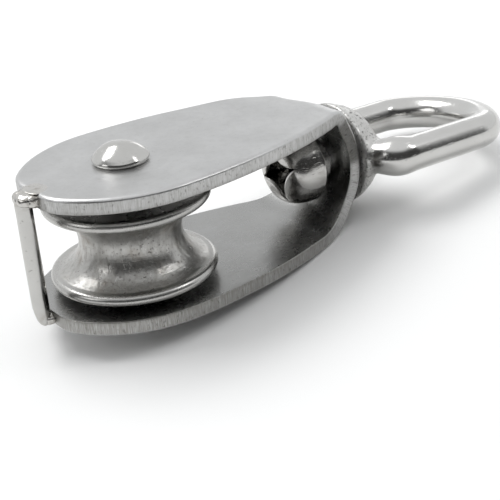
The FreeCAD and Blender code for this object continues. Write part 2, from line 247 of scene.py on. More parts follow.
def quarter(side, axle):
    """The outline in one quarter of the blank, on the upper side (1) or the lower side (-1): crown,
    fold, shoulder, cheek, nose corner and nose, with the same count of points in each stretch."""
    along = np.arange(0, axle - NOSE_CORNER_AT, OUTLINE_STEP)
    at = middle_line(side * along)[0]
    arc = np.where(at < WIDEST_AT, NOSE_ARC, SIDE_ARC)
    half = WIDEST_HALF - arc + np.sqrt(arc ** 2 - (at - WIDEST_AT) ** 2)
    crown_half = np.interp(at, [SHOULDER_AT, CROWN_FROM], [SHOULDER_HALF, CROWN_HALF])
    half = np.where(at > SHOULDER_AT, crown_half, half)
    padded = np.pad(half, SOFT_SPAN // 2, mode="edge")
    soft = np.convolve(padded, np.ones(SOFT_SPAN) / SOFT_SPAN, mode="valid")
    half = np.where(at > SHOULDER_AT - SOFT_BEFORE, soft, half)
    corner_half = WIDEST_HALF - NOSE_ARC + math.sqrt(NOSE_ARC ** 2 - (WIDEST_AT - NOSE_CORNER_AT) ** 2)
    lean = math.atan2(WIDEST_AT - NOSE_CORNER_AT, corner_half - WIDEST_HALF + NOSE_ARC)
    meet = corner_half - (NOSE_CORNER_AT - NOSE_AT) * math.tan(lean)
    leg = math.hypot(NOSE_CORNER_AT - NOSE_AT, corner_half - meet)
    corner = leg / math.tan((math.pi / 2 - lean) / 2)
    swing = np.linspace(lean, math.pi / 2, 24)
    nose = axle - NOSE_AT
    corner_line = np.stack([nose - corner * (1 - np.sin(swing)), meet - leg + corner * np.cos(swing)], -1)
    line = np.concatenate([np.stack([along, half], -1), corner_line, [[nose, 0.0]]])
    stops = [0, *np.searchsorted(along, [CROWN_TO, axle - NOSE_BACK]), len(line) - 1]
    runs = [even(line[a:b + 1], count)[1:] for a, b, count in zip(stops, stops[1:], OUTLINE_POINTS)]
    return np.concatenate([line[:1]] + runs) * [side, 1]


upper, lower = quarter(1, UPPER_AXLE), quarter(-1, LOWER_AXLE)
crown_stop = OUTLINE_POINTS[0] - 1
nose_stop = crown_stop + OUTLINE_POINTS[1] - 1
last = len(upper) - 1
outline = np.concatenate([upper, upper[-2::-1] * [1, -1], lower[1:] * [1, -1], lower[-2:0:-1]])
ahead = np.roll(outline, -1, axis=0) - np.roll(outline, 1, axis=0)
ahead /= np.linalg.norm(ahead, axis=1, keepdims=True)
inward = np.stack([ahead[:, 1], -ahead[:, 0]], -1)

# The rim's section: a ledge, the rolled outer edge, the cut face, the keen inner edge, a ledge.
# The cut face is torn by lumps that are drawn out along the plate's thickness.
CUT_BLEND = 0.2
TEAR_DEEP = 0.015
TEAR_LEVEL = 1.2
TEAR_DRAWN = np.array([0, 0, 0.25])
turn = np.linspace(0, math.pi / 2, 10)
face_high = np.linspace(PLATE_HALF - ROLL_DOWN, -PLATE_HALF + INNER_EDGE, 14)[1:-1]
turn_in = np.linspace(0, math.pi / 2, 5)
rim_in = np.concatenate([[ROLL_IN + EDGE_LEDGE], ROLL_IN * (1 - np.sin(turn)), 0 * face_high,
                         INNER_EDGE * (1 - np.cos(turn_in)), [INNER_EDGE + EDGE_LEDGE]])
rim_out = np.concatenate([[PLATE_HALF], PLATE_HALF - ROLL_DOWN * (1 - np.cos(turn)), face_high,
                          -PLATE_HALF + INNER_EDGE * (1 - np.sin(turn_in)), [-PLATE_HALF]])
cut_share = np.clip((PLATE_HALF - ROLL_DOWN * 0.6 - rim_out) / CUT_BLEND, 0, 1) * (rim_in < INNER_EDGE * 0.9)
ring = np.concatenate([np.arange(len(outline)), [0]])
spot = np.concatenate([outline[ring], np.zeros((len(ring), 1))], -1)
tear = lumps(spot * [1, 1, 0] + rim_out[:, None, None] * TEAR_DRAWN, pitch=0.9, seed=11)
inset = rim_in[:, None] + TEAR_DEEP * np.clip(tear + TEAR_LEVEL, 0, None) * cut_share[:, None]
plan = outline[ring] + inset[..., None] * inward[ring]
strap = [strap_patch(plan, rim_out[:, None], cut_share[:, None])]


def across(rim, number, points=46):
    """The line across the blank from a rim point to the one facing it."""
    share = np.linspace(0, 1, points)[:, None]
    return rim[number] * (1 - share) + rim[(2 * last - number) % len(rim)] * share


def around(rim, first, stop):
    """Rim points from one number to another, counted round the closed outline."""
    return rim[np.arange(first, stop + 1) % len(rim)]


# Each face of the plate is a patch about the shank's hole, and on either side of it a patch of
# lines across the cheek and one about the axle's hole. The hole walls join the two faces.
for out, inset in ((PLATE_HALF, rim_in[0]), (-PLATE_HALF, rim_in[-1])):
    rim = outline + inset * inward
    crown_edge = np.concatenate([
        around(rim, -crown_stop, crown_stop), across(rim, crown_stop)[1:],
        around(rim, 2 * last - crown_stop, 2 * last + crown_stop)[1:],
        across(rim, 2 * last + crown_stop)[1:]])
    plans = [holed(crown_edge, np.zeros(2), SHANK_HOLE, rows=14)]
    for first, axle in ((0, UPPER_AXLE), (2 * last, -LOWER_AXLE)):
        tip, facing_tip = first + nose_stop, first + 2 * last - nose_stop
        nose_edge = np.concatenate([around(rim, tip, facing_tip), across(rim, facing_tip)[1:]])
        plans.append(holed(nose_edge, np.array([axle, 0]), AXLE_HOLE, rows=30))
        plans.append(np.stack([across(rim, first + k) for k in range(crown_stop, nose_stop + 1)]))
    strap += [strap_patch(plan, out) for plan in plans]
    if out > 0:
        walls = [plans[number][0] for number in (0, 1, 3)]
for wall in walls:
    strap.append(strap_patch(wall[None], np.linspace(PLATE_HALF, -PLATE_HALF, 5)[:, None]))

cheeks = steel_piece("pressed_strap", strap, [("blank", 3, "FLOAT_VECTOR"), ("cut", 6, "FLOAT")])


class Shade:
    """One socket in a finish. Arithmetic on sockets and numbers adds Math nodes."""

    def __init__(self, tree, socket=None):
        self.tree, self.socket = tree, socket

    def node(self, kind, settings, inputs, out=0):
        """Adds a node: its settings first, then the value or link of each input socket."""
        made = self.tree.nodes.new("ShaderNode" + kind)
        for name, value in settings.items():
            setattr(made, name, value)
        for name, value in inputs.items():
            if isinstance(value, Shade):
                self.tree.links.new(value.socket, made.inputs[name])
            else:
                made.inputs[name].default_value = value
        return Shade(self.tree, made.outputs[out] if made.outputs else None)

    def maths(self, operation, first, second):
        """A Math node's result for two sockets or numbers."""
        return self.node("Math", {"operation": operation}, {0: first, 1: second})

    def __add__(self, other):
        return self.maths("ADD", self, other)

    __radd__ = __add__

    def __sub__(self, other):
        return self.maths("SUBTRACT", self, other)

    def __rsub__(self, other):
        return self.maths("SUBTRACT", other, self)

    def __mul__(self, other):
        return self.maths("MULTIPLY", self, other)

    __rmul__ = __mul__

    def grain(self, place, size, detail=3.0, rough=0.55):
        """Cloudy noise from 0 to 1 whose patches measure about the size, in the place's own units."""
        return self.node("TexNoise", {"noise_dimensions": "3D"},
                         {"Vector": place, "Scale": 1 / size, "Detail": detail, "Roughness": rough})

    def band(self, value, low, high):
        """Rises smoothly from 0 to 1 as a value goes from low to high."""
        return self.node("MapRange", {"interpolation_type": "SMOOTHSTEP"},
                         {"Value": value, "From Min": low, "From Max": high})

    def stretched(self, place, factors):
        """A place with each axis multiplied by a number."""
        return self.node("VectorMath", {"operation": "MULTIPLY"}, {0: place, 1: factors})

    def tint(self, share, first, second):
        """A colour that goes from the first to the second as the share rises."""
        return self.node("Mix", {"data_type": "RGBA"},
                         {"Factor": share, 6: first if isinstance(first, Shade) else (*first, 1),
                          7: second if isinstance(second, Shade) else (*second, 1)}, 2)


def finish_named(name):
    """A new empty finish and the start of its nodes."""
    finish = bpy.data.materials.new(name)
    finish.use_nodes = True
    finish.node_tree.nodes.clear()
    return finish, Shade(finish.node_tree)


def bare_steel(start, colour, rough, height, deep):
    """Closes a finish as bare metal: its colour, its roughness, and relief of a given depth in metres."""
    normal = start.node("Bump", {}, {"Strength": 1.0, "Distance": deep, "Height": height})
    surface = start.node("BsdfPrincipled", {}, {"Base Color": colour, "Metallic": 1.0,
                                                "Roughness": rough, "Normal": normal})
    start.node("OutputMaterial", {}, {"Surface": surface})


satin, start = finish_named("tumbled_plate")
blank = start.node("Attribute", {"attribute_name": "blank"}, {}, "Vector")
cut = start.node("Attribute", {"attribute_name": "cut"}, {}, "Fac")
out = start.node("SeparateXYZ", {}, {"Vector": blank}, "Z")
inside = 1 - start.band(out, -1.2, -0.4)
lengthwise = start.stretched(blank, (0.16, 2.6, 1.0))
crosswise = start.stretched(blank, (2.2, 0.2, 1.0))
through = start.stretched(blank, (5.0, 5.0, 0.30))
deepened = start.stretched(blank, (1.0, 1.0, 0.4))
cloud = start.grain(blank, size=7.0, detail=4.0)
smudge = start.grain(blank, size=1.3, detail=5.0, rough=0.7)
speck = start.band(start.grain(blank, size=0.35, detail=2.0), 0.66, 0.74)
scratch = start.band(start.grain(lengthwise, size=0.5), 0.60, 0.72)
cross_scratch = start.band(start.grain(crosswise, size=0.6), 0.64, 0.74)
shear = start.grain(through, size=0.7, detail=4.0, rough=0.6)
pit = start.band(start.grain(deepened, size=0.30, rough=0.6), 0.56, 0.70)
along = start.node("SeparateXYZ", {}, {"Vector": blank}, "X")
# Painted dark reflection: the upper part of the cut edge round the crown, standing in for the dark room in
# front that it reflects.
crown_edge_painted_dark = cut * start.band(along, 0.2, 1.4) * (1 - start.band(along, 7.6, 8.8))
# Painted shade: the cut edge of the lower cheek, in patches, standing in for the shaded floor that it
# reflects.
lower_edge_painted_shade = cut * (1 - start.band(along, -15.0, -10.0)) * start.band(shear, 0.25, 0.60)
colour = start.tint(start.band(cloud, 0.3, 0.7), PLATE_DULL, PLATE_BRIGHT)
# Painted shade: the inner faces, those towards the sheave, are tinted halfway to a dark grey.
colour = start.tint(0.50 * inside, colour, INNER_PAINTED_SHADE)
# Grey smudges everywhere, heavier on the inner faces, where they add to the painted shade.
colour = start.tint(start.band(smudge, 0.42, 0.72) * (0.16 + 0.22 * inside), colour, SMUDGE_AND_SHADE_GREY)
# The crown's cut edge is painted near black as a dark reflection, a little darker still at the pits.
colour = start.tint(crown_edge_painted_dark * (0.74 + 0.26 * start.band(pit, 0.2, 0.6)), colour, CROWN_EDGE_PAINTED_DARK)
# The lower cheek's cut edge is darkened in patches with a brownish grey as painted shade.
colour = start.tint(lower_edge_painted_shade * 0.6, colour, LOWER_EDGE_PAINTED_SHADE)
colour = start.tint(speck * 0.35, colour, SPECK_GREY)
colour = start.tint(cut * start.band(shear, 0.35, 0.70) * 0.6, colour, SHEAR_GREY)
colour = start.tint(cut * pit * 0.55, colour, CUT_PIT_DARK)
rough = 0.34 + 0.10 * (cloud - 0.5) + 0.12 * (smudge - 0.5) - 0.05 * scratch
rough = rough + 0.06 * cut * shear - 0.06 * inside
fine = start.grain(blank, size=0.25)
coarse = start.grain(blank, size=2.2, detail=2.0)
height = (0.30 * fine - 0.25 * scratch - 0.2 * cross_scratch * inside
          - 0.25 * speck + (cut + 1.5 * crown_edge_painted_dark) * (2.2 * shear - 1.6 * pit) + 1.6 * coarse)
bare_steel(start, colour, rough, height, deep=0.000012)
cheeks.data.materials.append(satin)
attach(cheeks, "frame")
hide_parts("cheek_strap")


# ----------------------------------------
# Sheave. A stainless steel wheel, cast and then turned: the rims and hub faces are turned bright,
# the rope groove keeps a dull, slightly pitted cast skin. It turns loose on the riveted axle.
# ----------------------------------------
SHEAVE_DROP = 0.55
BORE = 2.55
HUB_HALF = 4.7
HUB_HIGH = 7.15
WEB_HIGH = 6.25
RIM_HALF = 12.0
RIM_THICK = 1.6
GROOVE_RADIUS = 4.9
THROAT = 7.4
SHEAVE_STEPS = 384
CAST_TO = 11.0
CAST_FADE = 0.8
LIP_SLACK = 0.01
CAST_COARSE = 0.035
CAST_FINE = 0.010
WHEEL_UNEVEN = 0.012
CAST_SQUASH = [1, 1, 0.3]
WHEEL_DULL = (0.40, 0.395, 0.38)
WHEEL_BRIGHT = (0.48, 0.475, 0.46)
CAST_SKIN_GREY = (0.25, 0.24, 0.22)
STAIN_BROWN = (0.23, 0.19, 0.15)
WHEEL_PIT_DARK = (0.13, 0.12, 0.11)


def rounded(corners, radii, step, points=7):
    """A line through corners, each rounded by its own radius: a quadratic curve between the points
    that lie the radius before and after the corner, with points at most one step apart."""
    corners = np.asarray(corners, float)
    line = [corners[:1]]
    for before, here, after, radius in zip(corners, corners[1:], corners[2:], radii):
        enter = here + (before - here) * radius / np.linalg.norm(before - here)
        leave = here + (after - here) * radius / np.linalg.norm(after - here)
        share = np.linspace(0, 1, points)[:, None]
        line.append(enter * (1 - share) ** 2 + 2 * here * share * (1 - share) + leave * share ** 2)
    line = np.concatenate(line + [corners[-1:]])
    return filled(line, step)


def filled(line, step):
    """The same line with extra points wherever two neighbours lie more than a step apart."""
    gaps = np.linalg.norm(np.diff(line, axis=0), axis=1)
    parts = [a + (b - a) * np.arange(count)[:, None] / count
             for a, b, count in zip(line, line[1:], np.maximum(1, np.ceil(gaps / step)).astype(int))]
    return np.concatenate(parts + [line[-1:]])


def spun(section, steps):
    """Points of a section of radius and height, carried once round the Z axis."""
    angle = np.linspace(0, 2 * math.pi, steps + 1)
    angle[-1] = 0
    radius, high = section[:, :1], section[:, 1:2]
    return np.stack([radius * np.cos(angle), radius * np.sin(angle), high + 0 * angle], -1)


lip = WEB_HIGH - RIM_THICK
round_off = RIM_THICK / 2
groove_turn = math.asin(lip / GROOVE_RADIUS)
groove = np.linspace(groove_turn, 0, 34)
groove_line = np.stack([THROAT + GROOVE_RADIUS * (1 - np.cos(groove)), GROOVE_RADIUS * np.sin(groove)], -1)
rim_turn = np.linspace(math.pi / 2, -math.pi / 2, 17)
rim_line = np.stack([RIM_HALF - round_off + round_off * np.cos(rim_turn),
                     WEB_HIGH - round_off + round_off * np.sin(rim_turn)], -1)
hub_line = rounded([(BORE, 0), (BORE, HUB_HIGH), (HUB_HALF, HUB_HIGH), (HUB_HALF, WEB_HIGH), rim_line[0]],
                   radii=[0.3, 0.25, 0.2], step=0.5)
upper = np.concatenate([hub_line, rim_line[1:], groove_line])
section = np.concatenate([upper, upper[-2::-1] * [1, -1]])
wheel = spun(section, SHEAVE_STEPS)
cast = np.clip((CAST_TO - section[:, :1]) / CAST_FADE, 0, 1) * (np.abs(section[:, 1:2]) < lip + LIP_SLACK)
outward = wheel * [1, 1, 0] / np.linalg.norm(wheel * [1, 1, 0], axis=-1, keepdims=True)
rough_cast = (CAST_COARSE * lumps(wheel * CAST_SQUASH, pitch=2.6, seed=21)
              + CAST_FINE * lumps(wheel * CAST_SQUASH, pitch=0.9, seed=22))
out_of_round = outward * WHEEL_UNEVEN * lumps(wheel, pitch=6.0, seed=24)[..., None]
wheel = wheel + outward * (cast * rough_cast)[..., None] + out_of_round
wheel[:, -1] = wheel[:, 0]
wheel[..., 2] -= SHEAVE_DROP
wheel = np.concatenate([wheel, (cast + 0 * wheel[..., 0])[..., None]], -1)
sheave = steel_piece("grooved_sheave", [wheel], [("cast", 3, "FLOAT")])

turned, start = finish_named("turned_and_cast_steel")
place = start.node("TexCoord", {}, {}, "Object")
cast = start.node("Attribute", {"attribute_name": "cast"}, {}, "Fac")
cloud = start.grain(place, size=0.0040, detail=4.0)
skin = start.grain(start.stretched(place, (1.0, 1.0, 0.35)), size=0.0008, detail=5.0, rough=0.65)
pit = start.band(start.grain(place, size=0.00030), 0.60, 0.70)
lathe = start.grain(start.stretched(place, (0.02, 0.02, 6.0)), size=0.0009)
stain = start.band(start.grain(place, size=0.0030), 0.52, 0.68) * cast
colour = start.tint(cloud, WHEEL_DULL, WHEEL_BRIGHT)
colour = start.tint(start.band(skin, 0.42, 0.72) * cast * 0.6, colour, CAST_SKIN_GREY)
colour = start.tint(stain * 0.35, colour, STAIN_BROWN)
colour = start.tint(pit * (0.12 + 0.5 * cast), colour, WHEEL_PIT_DARK)
rough = 0.27 + 0.12 * (cloud - 0.5) + cast * (0.04 + 0.22 * (skin - 0.5)) + 0.05 * (lathe - 0.5)
height = 0.7 * lathe + cast * (2.0 * skin - 1.2 * pit) + 0.3 * cloud
bare_steel(start, colour, rough, height, deep=0.000028)
sheave.data.materials.append(turned)
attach(sheave, "sheave")
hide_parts("sheave")


# ----------------------------------------
# Axle rivet. A stainless steel pin through both cheeks and the sheave, its ends headed over into
# round domes and polished; the heading tool leaves the domes slightly uneven.
# ----------------------------------------
PIN = 2.5
HEAD_HALF = 4.1
HEAD_HIGH = 2.8
HEAD_EDGE = 0.4
FOOT_TUCK = 0.3
HEAD_UNEVEN = 0.06
HEAD_SPREAD = 0.3
HEAD_CALM = 0.5
RIVET_DULL = (0.48, 0.475, 0.455)
RIVET_BRIGHT = (0.58, 0.575, 0.56)
RIVET_NICK_GREY = (0.22, 0.21, 0.19)

dome_high = HEAD_HIGH - HEAD_EDGE
dome_radius = (HEAD_HALF ** 2 + dome_high ** 2) / (2 * dome_high)
dome_turn = np.linspace(0, math.asin(HEAD_HALF / dome_radius), 40)
dome = np.stack([dome_radius * np.sin(dome_turn),
                 CHEEK_FACE + HEAD_HIGH - dome_radius * (1 - np.cos(dome_turn))], -1)[:-4]
brim = rounded([dome[-1], (HEAD_HALF, CHEEK_FACE + HEAD_EDGE * 1.25),
                (HEAD_HALF - FOOT_TUCK, CHEEK_FACE), (PIN, CHEEK_FACE)], radii=[0.30, 0.06], step=0.3)
shaft = filled(np.array([[PIN, CHEEK_FACE], [PIN, 0.0]]), step=1.0)
upper = np.concatenate([dome, brim[1:], shaft[1:]])
section = np.concatenate([upper, upper[-2::-1] * [1, -1]])
rivet = spun(section, steps=128)
head_share = np.clip((np.abs(rivet[..., 2]) - CHEEK_FACE) / HEAD_CALM, 0, 1)
uneven = HEAD_UNEVEN * lumps(rivet, pitch=4.0, seed=31) * head_share
rivet += (rivet * [HEAD_SPREAD, HEAD_SPREAD, 0] + [0, 0, 1] * np.sign(rivet)) * uneven[..., None]
rivet[:, -1] = rivet[:, 0]
rivet[..., 2] = np.clip(rivet[..., 2], -CHEEK_FACE - HEAD_HIGH, CHEEK_FACE + HEAD_HIGH)
axle = steel_piece("headed_axle", [rivet])

polished, start = finish_named("polished_rivet_steel")
place = start.node("TexCoord", {}, {}, "Object")
cloud = start.grain(place, size=0.0030, detail=4.0)
haze = start.grain(place, size=0.0009, detail=4.0, rough=0.6)
brushed = start.stretched(place, (1.0, 0.15, 1.0))
scratch = start.band(start.grain(brushed, size=0.00025, detail=2.0), 0.62, 0.70)
nick = start.band(start.grain(place, size=0.0005, detail=2.0), 0.68, 0.74)
colour = start.tint(cloud, RIVET_DULL, RIVET_BRIGHT)
colour = start.tint(nick * 0.5, colour, RIVET_NICK_GREY)
rough = 0.15 + 0.10 * (cloud - 0.5) + 0.09 * (haze - 0.3) + 0.07 * scratch
height = 0.5 * haze - 0.25 * scratch - 0.7 * nick + 1.2 * cloud
bare_steel(start, colour, rough, height, deep=0.000016)
axle.data.materials.append(polished)
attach(axle, "frame")
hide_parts("axle_rivet")


# ----------------------------------------
# Tail bar. A drawn stainless steel rod, cut to the width of the block, laid against both noses
# and tacked there with weld, so that the rope stays in the block. Its ends are dressed round and
# its lower end is ground off on the outside, down to the nose.
# ----------------------------------------
ROD_HALF = 1.2
ROD_AT = NOSE_AT - ROD_HALF
ROD_END = 9.8
ROD_END_ROUND = 1.0
DRESSED_BELOW = -6.6
DRESSED_OFF = 0.6
DRESSED_POWER = 1.5
ROD_UNEVEN = 0.012
ROD_SHRUNK = 0.016
HEAT_FROM, HEAT_FULL = 0.0068, 0.0092
ROD_DULL = (0.46, 0.455, 0.44)
ROD_BRIGHT = (0.56, 0.555, 0.54)
HEAT_BROWN = (0.28, 0.25, 0.21)
ROD_NICK_GREY = (0.25, 0.24, 0.22)

end_line = rounded([(0, ROD_END), (ROD_HALF, ROD_END), (ROD_HALF, 0)], radii=[ROD_END_ROUND], step=0.25)
section = np.concatenate([end_line, end_line[-2::-1] * [1, -1]])
rod = spun(section, steps=72)
rod += rod * [1, 1, 0] * (ROD_UNEVEN * lumps(rod, pitch=5.0, seed=41) - ROD_SHRUNK)[..., None]
dressed = np.clip((DRESSED_BELOW - rod[..., 2]) / (ROD_END + DRESSED_BELOW), 0, 1) ** DRESSED_POWER
rod[..., 0] *= np.where(rod[..., 0] < 0, 1 - DRESSED_OFF * dressed, 1)
rod[:, -1] = rod[:, 0]
rod[..., 0] += ROD_AT
tail_rod = steel_piece("tail_rod", [rod])

drawn, start = finish_named("drawn_rod_steel")
place = start.node("TexCoord", {}, {}, "Object")
cloud = start.grain(place, size=0.0040, detail=4.0)
draw_lines = start.grain(start.stretched(place, (6.0, 6.0, 0.25)), size=0.0015)
haze = start.grain(place, size=0.0008, detail=4.0, rough=0.6)
nick = start.band(start.grain(place, size=0.0006, detail=2.0), 0.66, 0.72)
high = start.node("SeparateXYZ", {}, {"Vector": place}, "Z")
end_heat = start.band(start.node("Math", {"operation": "ABSOLUTE"}, {0: high}), HEAT_FROM, HEAT_FULL)
colour = start.tint(cloud, ROD_DULL, ROD_BRIGHT)
colour = start.tint(end_heat * start.band(haze, 0.35, 0.7) * 0.6, colour, HEAT_BROWN)
colour = start.tint(nick * 0.45, colour, ROD_NICK_GREY)
rough = 0.17 + 0.10 * (cloud - 0.5) + 0.08 * (draw_lines - 0.4) + 0.10 * end_heat * haze
height = 0.9 * draw_lines + 0.5 * haze - 0.8 * nick
bare_steel(start, colour, rough, height, deep=0.000014)
tail_rod.data.materials.append(drawn)
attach(tail_rod, "frame")
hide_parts("tail_bar")


# ----------------------------------------
# Weld beads. Small tacks of stainless weld metal that fill the corners between the tail bar and
# the noses: the upper one caps the bar with a drop at one side and a thin smear on the plate, the
# lower one was dressed smooth with the end of the bar.
# ----------------------------------------
# Each bead: its centre, its half sizes, the seed of its unevenness and how uneven it is.
BEADS = [((-14.55, 0.00, 9.00), (2.00, 2.20, 1.05), 51, 0.020),
         ((-14.45, -1.35, 8.95), (1.15, 1.15, 0.95), 57, 0.035),
         ((-13.40, -0.20, 9.97), (1.60, 2.10, 0.16), 59, 0.050),
         ((-14.50, 0.35, -9.00), (1.15, 2.00, 0.92), 54, 0.030)]
BEAD_SQUARE = 0.8
BEAD_SHRUNK = 0.96
WELD_DULL = (0.44, 0.425, 0.40)
WELD_BRIGHT = (0.60, 0.59, 0.57)
SOOT_BROWN = (0.20, 0.18, 0.15)


def bead(centre, half, seed, lump, rows=41, columns=65):
    """A lumpy egg: a unit ball made squarer by a power of each coordinate, swollen by uneven height,
    times its half sizes, about its centre."""
    polar = np.linspace(0, math.pi, rows)[:, None]
    round_it = np.linspace(0, 2 * math.pi, columns)
    round_it[-1] = 0
    ball = np.stack([np.sin(polar) * np.cos(round_it), np.sin(polar) * np.sin(round_it),
                     np.cos(polar) + 0 * round_it], -1)
    ball[0, :] = (0, 0, 1)
    ball[-1, :] = (0, 0, -1)
    ball = np.sign(ball) * np.abs(ball) ** BEAD_SQUARE
    coarse = lumps(ball * half, pitch=1.5, seed=seed)
    fine = lumps(ball * half, pitch=0.7, seed=seed + 1)
    swell = BEAD_SHRUNK + lump * (coarse + 0.5 * fine)
    return ball * swell[..., None] * half + centre


beads = steel_piece("weld_tacks", [bead(*sizes) for sizes in BEADS])

weld, start = finish_named("weld_steel")
place = start.node("TexCoord", {}, {}, "Object")
cloud = start.grain(place, size=0.0012, detail=5.0, rough=0.6)
ripple = start.grain(start.stretched(place, (0.4, 1.6, 1.6)), size=0.0006)
soot = start.band(start.grain(place, size=0.0015, detail=4.0, rough=0.6), 0.50, 0.66)
colour = start.tint(cloud, WELD_DULL, WELD_BRIGHT)
colour = start.tint(soot * 0.6, colour, SOOT_BROWN)
rough = 0.20 + 0.20 * (cloud - 0.4) + 0.16 * soot
height = 1.6 * ripple + 1.0 * cloud
bare_steel(start, colour, rough, height, deep=0.000020)
beads.data.materials.append(weld)
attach(beads, "frame")
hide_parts("tail_bar_welds")


# ----------------------------------------
# Swivel eye. One stainless steel casting: a D-shaped ring of round bar on a domed boss, with a
# shank that passes through the crown. The ring is polished, the boss keeps some of its cast skin,
# and every corner between them runs in a soft hollow.
# ----------------------------------------
EYE_SEAT = CROWN_REACH + 0.15
SHANK = 2.5
SHANK_END = 30.0
BOSS_HALF = 8.0
BOSS_EDGE = 0.5
BOSS_WAIST = (4.3, 6.1)
BOSS_TIP = (6.2, 2.8)
EYE_ROD = 2.75
EYE_HALF = 11.0
EYE_BASE_AT = 40.6
EYE_TIP_AT = 65.5
EYE_CORNER = 3.0
EYE_SHOULDER = 6.5
EYE_BOW = 13.0
EYE_TURN = math.radians(-6.0)
EYE_DROOP = math.radians(2.0)
BASE_BAR = 2.35
BASE_SIDE = 2.5
BASE_TOP = 7
BASE_FADE = 4
CORNER_BULB = 2.95
BULB_AT = (1.6, 1.0)
BULB_BLEND = 1.0
BLEND = 1.5
SKIN_STEP = 0.30
BAR_ROOM = 3.4
BOSS_ROOM = 0.9
SHANK_ROOM = 0.6
NUDGE = 0.02
CAST_ALONG, CAST_ALONG_FADE = 7.5, 2.5
CAST_AWAY, CAST_AWAY_FADE = 9.5, 2.0
SEAT_CALM_FROM, SEAT_CALM = 0.4, 0.5
EYE_DULL = (0.52, 0.515, 0.50)
EYE_BRIGHT = (0.62, 0.615, 0.60)
BOSS_PIT_DARK = (0.09, 0.085, 0.078)
EYE_NICK_GREY = (0.26, 0.25, 0.23)
SKIN_UNEVEN, SKIN_SUNK = 0.045, 0.02
EYE_WAVES, EYE_SHRUNK = 0.010, 0.01
FLATTEST = 0.25

bow_at = EYE_TIP_AT - EYE_BOW
shoulder_at = bow_at + math.sqrt((EYE_BOW - EYE_SHOULDER) ** 2 - (EYE_HALF - EYE_SHOULDER) ** 2)
eye_lean = math.atan2(EYE_HALF - EYE_SHOULDER, shoulder_at - bow_at)
EYE_ARCS = [((EYE_BASE_AT + EYE_CORNER, EYE_HALF - EYE_CORNER), EYE_CORNER, math.pi / 2, math.pi),
            ((shoulder_at, EYE_HALF - EYE_SHOULDER), EYE_SHOULDER, eye_lean, math.pi / 2),
            ((bow_at, 0.0), EYE_BOW, 0.0, eye_lean)]
EYE_LINES = [((EYE_BASE_AT, 0.0), (EYE_BASE_AT, EYE_HALF - EYE_CORNER)),
             ((EYE_BASE_AT + EYE_CORNER, EYE_HALF), (shoulder_at, EYE_HALF))]


def to_line(points, first, stop):
    """Distance from points in a plane to a straight piece: to its foot, kept between the two ends."""
    first, run = np.array(first), np.array(stop) - np.array(first)
    share = np.clip(((points - first) @ run) / (run @ run), 0, 1)
    return np.linalg.norm(points - first - share[..., None] * run, axis=-1)


def to_ring(points):
    """Distance in the ring's plane to the bar's centre line: the least of those to its straight pieces
    and its arcs. An arc counts where a point's bearing from its centre lies between its ends."""
    gap = np.minimum(*(to_line(points, *line) for line in EYE_LINES))
    for centre, radius, first, stop in EYE_ARCS:
        away = points - np.array(centre)
        bearing = np.arctan2(away[..., 1], away[..., 0])
        faces = (bearing >= first) & (bearing <= stop)
        gap = np.where(faces, np.minimum(gap, np.abs(np.linalg.norm(away, axis=-1) - radius)), gap)
    return gap


def soft_union(first, second, blend):
    """The nearer of two distances, rounded off by a parabola where they differ by less than the blend."""
    share = np.clip(0.5 + 0.5 * (second - first) / blend, 0, 1)
    return second * (1 - share) + first * share - blend * share * (1 - share)


boss_turn = np.linspace(0, 1, 12)[:, None]
edge_point = np.array([EYE_SEAT + BOSS_EDGE, BOSS_HALF])
waist_point = np.array([EYE_SEAT + BOSS_WAIST[0], BOSS_WAIST[1]])
tip_point = np.array([EYE_SEAT + BOSS_TIP[0], BOSS_TIP[1]])
bulge = 2 * waist_point - 0.5 * (edge_point + tip_point)
boss_line = (edge_point * (1 - boss_turn) ** 2 + 2 * bulge * boss_turn * (1 - boss_turn)
             + tip_point * boss_turn ** 2)
boss_section = np.concatenate([[[SHANK_END, 0], [SHANK_END, SHANK], [EYE_SEAT, SHANK], [EYE_SEAT, BOSS_HALF]],
                               boss_line, [[EYE_SEAT + BOSS_TIP[0], 0]]])


def boss_distance(along, away):
    """Distance to the turned boss and shank: to the nearest edge of its section, and less than
    nothing where an odd number of edges lies above the point."""
    points = np.stack([along, away], -1)
    gap = np.min([to_line(points, a, b) for a, b in zip(boss_section, boss_section[1:])], axis=0)
    within = np.zeros(along.shape, bool)
    for (ax, ay), (bx, by) in zip(boss_section, np.roll(boss_section, -1, axis=0)):
        if ax == bx:
            continue
        between = (ax > along) != (bx > along)
        within ^= between & (away < ay + (by - ay) * (along - ax) / (bx - ax))
    return np.where(within, -gap, gap)


def eye_distance(points):
    """Distance to the whole casting in the ring's own plane: the bar's round section about its
    centre line, thinner in the base and fuller at the two corners, joined softly to the boss."""
    x, y, z = np.moveaxis(points, -1, 0)
    gap = to_ring(np.stack([x, np.abs(y)], -1))
    base = np.clip((EYE_HALF - BASE_SIDE - np.abs(y)) / BASE_SIDE, 0, 1)
    base = base * np.clip((EYE_BASE_AT + BASE_TOP - x) / BASE_FADE, 0, 1)
    ring = np.sqrt(gap ** 2 + z ** 2) - (EYE_ROD + (BASE_BAR - EYE_ROD) * base)
    bulb_from = points * [1, 0, 1] + np.stack([0 * x, np.abs(y), 0 * x], -1)
    bulb_centre = [EYE_BASE_AT + BULB_AT[0], EYE_HALF - BULB_AT[1], 0]
    bulb = np.linalg.norm(bulb_from - bulb_centre, axis=-1) - CORNER_BULB
    ring = soft_union(ring, bulb, BULB_BLEND)
    level = x - EYE_SEAT
    boss_x = EYE_SEAT + level * math.cos(EYE_DROOP) + z * math.sin(EYE_DROOP)
    boss_z = z * math.cos(EYE_DROOP) - level * math.sin(EYE_DROOP)
    boss = boss_distance(boss_x, np.hypot(y, boss_z))
    return soft_union(ring, boss, BLEND)


